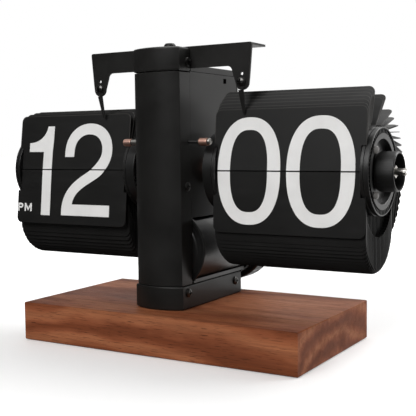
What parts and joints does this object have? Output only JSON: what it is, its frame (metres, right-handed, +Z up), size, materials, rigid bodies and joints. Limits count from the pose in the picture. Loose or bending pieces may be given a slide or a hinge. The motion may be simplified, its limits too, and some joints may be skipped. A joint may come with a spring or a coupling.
{
  "type": "flip number clock",
  "caption": "Desk clock with two drums of falling number leaves on one axle, carried by a black column on a wooden base, with a round battery tube and a side setting knob.",
  "frame": {"origin": "centre of the base's bottom face, on the surface it rests on", "axes": "+X to the right of a person facing the clock (hours on the -X side, minutes on +X), the number leaves face -Y, +Z up"},
  "size_m": [0.2126, 0.0955, 0.145],
  "materials": {
    "wood": "oiled",
    "satin_black": "satin",
    "black_plastic": "satin",
    "leaf_plastic": "fine matte",
    "steel": "brushed",
    "copper": "satin",
    "nylon": "matte",
    "cell_wrap": "gloss",
    "board_green": "matte",
    "white_print": "matte"
  },
  "bodies": {
    "stand": {"base_block": "wood", "base_screw_front": "steel", "base_screw_back": "steel", "foot_shoe": "satin_black", "battery_tray": "black_plastic", "column_shell": "satin_black", "top_cap": "satin_black", "top_button": "satin_black", "cap_screw_right": "steel", "cap_screw_left": "steel", "column_screw_right": "steel", "column_screw_left": "steel", "foot_screw_front_right": "steel", "foot_screw_front_left": "steel", "foot_screw_back_right": "steel", "foot_screw_back_left": "steel", "leaf_bracket": "satin_black", "minute_finger_clip": "satin_black", "minute_finger_screw": "steel", "hour_finger_clip": "satin_black", "hour_finger_screw": "steel", "movement_housing": "satin_black", "housing_rear_cover": "satin_black", "housing_lid": "satin_black", "battery_tube": "black_plastic", "contact_plate": "steel", "motor": "steel", "circuit_board": "board_green", "minute_bush": "copper", "hour_bush": "copper"},
    "minute_drum": {"main_axle": "steel", "minute_core": "black_plastic", "minute_inner_disc": "black_plastic", "minute_outer_disc": "black_plastic", "setting_knob": "black_plastic", "axle_nut": "steel", "axle_end_clip": "steel", "minute_wheel": "nylon"},
    "minute_leaves": {"minute_leaf_pack": "leaf_plastic", "minute_bottom_leaf": "leaf_plastic"},
    "minute_flip_leaf": {"minute_top_leaf": "leaf_plastic"},
    "hour_drum": {"hour_core": "black_plastic", "hour_inner_disc": "black_plastic", "hour_outer_disc": "black_plastic", "hour_wheel": "nylon"},
    "hour_leaves": {"hour_leaf_pack": "leaf_plastic", "hour_bottom_leaf": "leaf_plastic"},
    "hour_flip_leaf": {"hour_top_leaf": "leaf_plastic"},
    "reduction_gear": {"reduction_wheel": "nylon"},
    "motor_rotor": {"motor_pinion": "steel"},
    "minute_finger_spring": {"minute_finger": "satin_black"},
    "hour_finger_spring": {"hour_finger": "satin_black"},
    "minute_stop": {"minute_stop_wire": "steel", "minute_stop_sleeve": "copper"},
    "hour_stop": {"hour_stop_wire": "steel", "hour_stop_sleeve": "copper"},
    "battery_end": {"battery_spring": "steel"},
    "battery_cap": {"battery_cap": "black_plastic"},
    "battery": {"battery_cell": "cell_wrap"}
  },
  "joints": [
    {"name": "minute_drum_spin", "type": "hinge", "parent": "stand", "child": "minute_drum", "pos_m": [-0.0045, 0.0031, 0.084], "axis": [1, 0, 0], "continuous": true},
    {"name": "minute_leaves_turn", "type": "hinge", "parent": "minute_drum", "child": "minute_leaves", "pos_m": [-0.0045, 0.0031, 0.084], "axis": [1, 0, 0], "continuous": true},
    {"name": "hour_drum_spin", "type": "hinge", "parent": "stand", "child": "hour_drum", "pos_m": [-0.0045, 0.0031, 0.084], "axis": [1, 0, 0], "continuous": true},
    {"name": "hour_leaves_turn", "type": "hinge", "parent": "hour_drum", "child": "hour_leaves", "pos_m": [-0.0045, 0.0031, 0.084], "axis": [1, 0, 0], "continuous": true},
    {"name": "reduction_wheel_spin", "type": "hinge", "parent": "stand", "child": "reduction_gear", "pos_m": [-0.0045, 0.0031, 0.1015], "axis": [1, 0, 0], "continuous": true},
    {"name": "motor_pinion_spin", "type": "hinge", "parent": "stand", "child": "motor_rotor", "pos_m": [-0.0045, 0.0181, 0.084], "axis": [1, 0, 0], "continuous": true},
    {"name": "minute_top_leaf_flip", "type": "hinge", "parent": "minute_leaves", "child": "minute_flip_leaf", "pos_m": [0.0575, -0.0144, 0.0845], "axis": [1, 0, 0], "range_deg": [0, 184]},
    {"name": "hour_top_leaf_flip", "type": "hinge", "parent": "hour_leaves", "child": "hour_flip_leaf", "pos_m": [-0.0665, -0.0144, 0.0845], "axis": [1, 0, 0], "range_deg": [0, 182]},
    {"name": "minute_finger_flex", "type": "hinge", "parent": "stand", "child": "minute_finger_spring", "pos_m": [0.0355, -0.0151, 0.1213], "axis": [-1, 0, 0], "range_deg": [0, 12], "stiffness_Nm_per_rad": 0.02},
    {"name": "hour_finger_flex", "type": "hinge", "parent": "stand", "child": "hour_finger_spring", "pos_m": [-0.0445, -0.0151, 0.1213], "axis": [-1, 0, 0], "range_deg": [0, 12], "stiffness_Nm_per_rad": 0.02},
    {"name": "minute_stop_flex", "type": "hinge", "parent": "stand", "child": "minute_stop", "pos_m": [0.0084, -0.0175, 0.098], "axis": [0, 0, 1], "range_deg": [-4, 4], "stiffness_Nm_per_rad": 0.03},
    {"name": "hour_stop_flex", "type": "hinge", "parent": "stand", "child": "hour_stop", "pos_m": [-0.0174, -0.0175, 0.098], "axis": [0, 0, 1], "range_deg": [-4, 4], "stiffness_Nm_per_rad": 0.03},
    {"name": "battery_cap_pull", "type": "slide", "parent": "stand", "child": "battery_end", "axis": [0, 1, 0], "range_m": [0, 0.07]},
    {"name": "battery_cap_turn", "type": "hinge", "parent": "battery_end", "child": "battery_cap", "pos_m": [-0.0045, 0.048, 0.0465], "axis": [0, 1, 0], "range_deg": [0, 30]},
    {"name": "battery_cell_slide", "type": "slide", "parent": "stand", "child": "battery", "axis": [0, 1, 0], "range_m": [0, 0.07]}
  ],
  "couplings": [
    {"joint": "minute_leaves_turn", "follows": "minute_drum_spin", "ratio": -1},
    {"joint": "hour_drum_spin", "follows": "minute_drum_spin", "ratio": 0.041667},
    {"joint": "hour_leaves_turn", "follows": "minute_drum_spin", "ratio": -0.041667},
    {"joint": "reduction_wheel_spin", "follows": "minute_drum_spin", "ratio": -0.25},
    {"joint": "motor_pinion_spin", "follows": "minute_drum_spin", "ratio": -5},
    {"joint": "battery_cell_slide", "follows": "battery_cap_pull", "ratio": 1}
  ]
}
